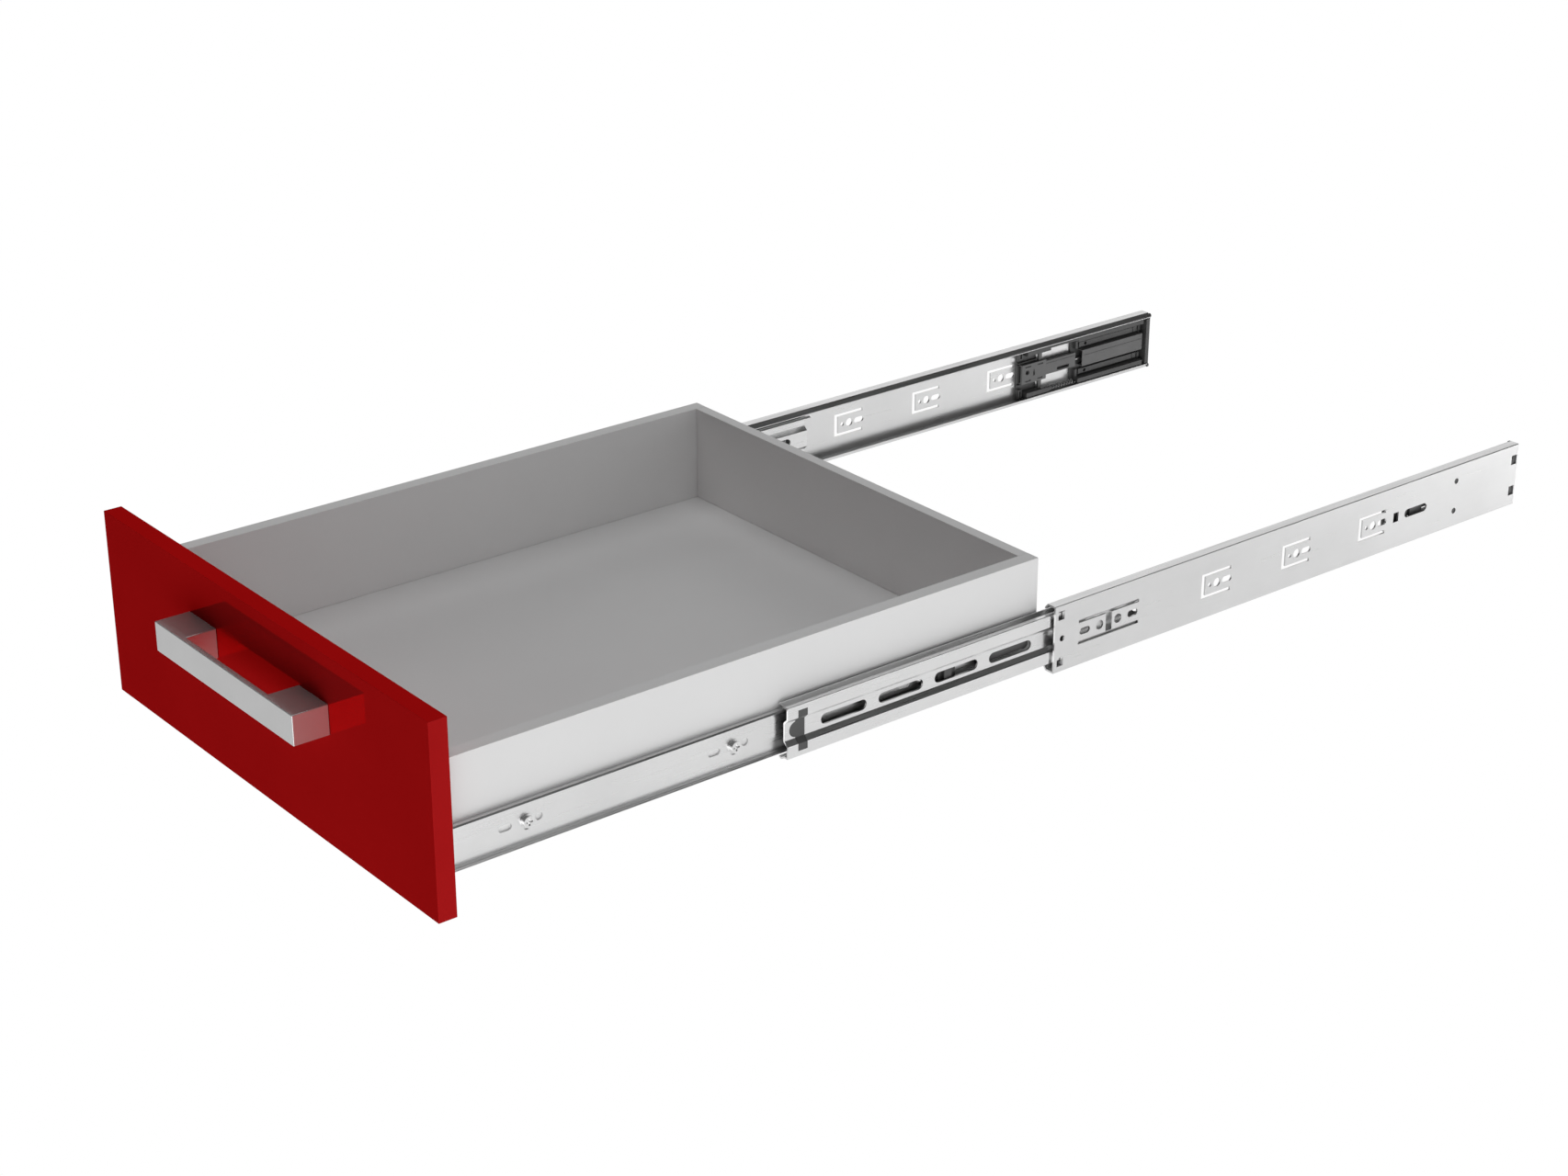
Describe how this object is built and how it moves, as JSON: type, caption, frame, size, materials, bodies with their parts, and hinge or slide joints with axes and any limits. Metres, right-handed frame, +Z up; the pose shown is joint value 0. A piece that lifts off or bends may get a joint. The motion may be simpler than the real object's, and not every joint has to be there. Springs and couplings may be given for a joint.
{
  "type": "soft-close drawer slide pair with drawer",
  "caption": "Pair of full-extension ball-bearing drawer slides with soft-close units, drawn out, carrying a shallow drawer with a red front and a square metal pull.",
  "frame": {"origin": "midway between the two slides, at the front ends of the cabinet rails, on the slides' centre line", "axes": "+Y into the cabinet along the slides (the drawer closes towards +Y), +Z up, +X towards the right slide"},
  "size_m": [0.3766, 0.9282, 0.1225],
  "materials": {
    "zinc_steel": "satin zinc plate",
    "bright_steel": "bright zinc plate",
    "cage_steel": "satin",
    "ball_steel": "polished",
    "screw_steel": "bright nickel",
    "black_plastic": "fine moulded grain",
    "grey_plastic": "fine moulded grain",
    "spring_steel": "dark drawn wire",
    "damper_steel": "bright drawn tube",
    "box_board": "satin light grey laminate",
    "red_lacquer": "high gloss lacquer",
    "handle_metal": "fine satin",
    "beech": "plain"
  },
  "bodies": {
    "cabinet_rails": {"cabinet_rail_right": "zinc_steel", "cabinet_rail_left": "zinc_steel", "end_cap_right": "black_plastic", "end_cap_left": "black_plastic", "soft_close_housing_right": "black_plastic", "soft_close_housing_left": "black_plastic", "damper_cover_right": "grey_plastic", "damper_cover_left": "grey_plastic", "damper_cylinder_right": "damper_steel", "damper_cylinder_left": "damper_steel", "upper_spring_right": "spring_steel", "upper_spring_left": "spring_steel", "lower_spring_right": "spring_steel", "lower_spring_left": "spring_steel"},
    "drawer": {"drawer_rail_right": "bright_steel", "drawer_rail_left": "bright_steel", "activator_right": "black_plastic", "activator_left": "black_plastic", "lever_rivet_right": "screw_steel", "lever_rivet_left": "screw_steel", "rail_screws_right": "screw_steel", "rail_screws_left": "screw_steel", "drawer_side_right": "box_board", "drawer_side_left": "box_board", "drawer_back": "box_board", "drawer_bottom": "box_board", "drawer_front": "red_lacquer", "drawer_dowels": "beech", "handle": "handle_metal", "handle_screws": "screw_steel"},
    "middle_rails": {"middle_rail_right": "bright_steel", "middle_rail_left": "bright_steel", "middle_rail_clip_right": "black_plastic", "middle_rail_clip_left": "black_plastic"},
    "outer_ball_cages": {"outer_ball_cage_right": "cage_steel", "outer_ball_cage_left": "cage_steel", "outer_balls_right": "ball_steel", "outer_balls_left": "ball_steel"},
    "inner_ball_cages": {"inner_ball_cage_right": "cage_steel", "inner_ball_cage_left": "cage_steel", "inner_balls_right": "ball_steel", "inner_balls_left": "ball_steel"},
    "catch_right": {"catch_slider_right": "grey_plastic", "damper_rod_right": "damper_steel"},
    "lever_right": {"release_lever_right": "black_plastic"},
    "catch_left": {"catch_slider_left": "grey_plastic", "damper_rod_left": "damper_steel"},
    "lever_left": {"release_lever_left": "black_plastic"}
  },
  "joints": [
    {"name": "drawer_slide", "type": "slide", "parent": "cabinet_rails", "child": "drawer", "axis": [0, 1, 0], "range_m": [0, 0.438]},
    {"name": "middle_rail_slide", "type": "slide", "parent": "cabinet_rails", "child": "middle_rails", "axis": [0, 1, 0], "range_m": [0, 0.211]},
    {"name": "outer_cage_roll", "type": "slide", "parent": "cabinet_rails", "child": "outer_ball_cages", "axis": [0, 1, 0], "range_m": [0, 0.1055]},
    {"name": "inner_cage_roll", "type": "slide", "parent": "cabinet_rails", "child": "inner_ball_cages", "axis": [0, 1, 0], "range_m": [0, 0.3245]},
    {"name": "soft_close_right", "type": "slide", "parent": "cabinet_rails", "child": "catch_right", "axis": [0, 1, 0], "range_m": [0, 0.026], "deforming": ["upper_spring_right", "lower_spring_right"]},
    {"name": "soft_close_left", "type": "slide", "parent": "cabinet_rails", "child": "catch_left", "axis": [0, 1, 0], "range_m": [0, 0.026], "deforming": ["upper_spring_left", "lower_spring_left"]},
    {"name": "release_right", "type": "hinge", "parent": "drawer", "child": "lever_right", "pos_m": [0.178, -0.052, 0], "axis": [1, 0, 0], "range_deg": [-6, 6], "stiffness_Nm_per_rad": 0.02},
    {"name": "release_left", "type": "hinge", "parent": "drawer", "child": "lever_left", "pos_m": [-0.178, -0.052, 0], "axis": [1, 0, 0], "range_deg": [-6, 6], "stiffness_Nm_per_rad": 0.02}
  ],
  "couplings": [
    {"joint": "middle_rail_slide", "follows": "drawer_slide", "ratio": 0.48173},
    {"joint": "outer_cage_roll", "follows": "drawer_slide", "ratio": 0.24086},
    {"joint": "inner_cage_roll", "follows": "drawer_slide", "ratio": 0.74086}
  ]
}
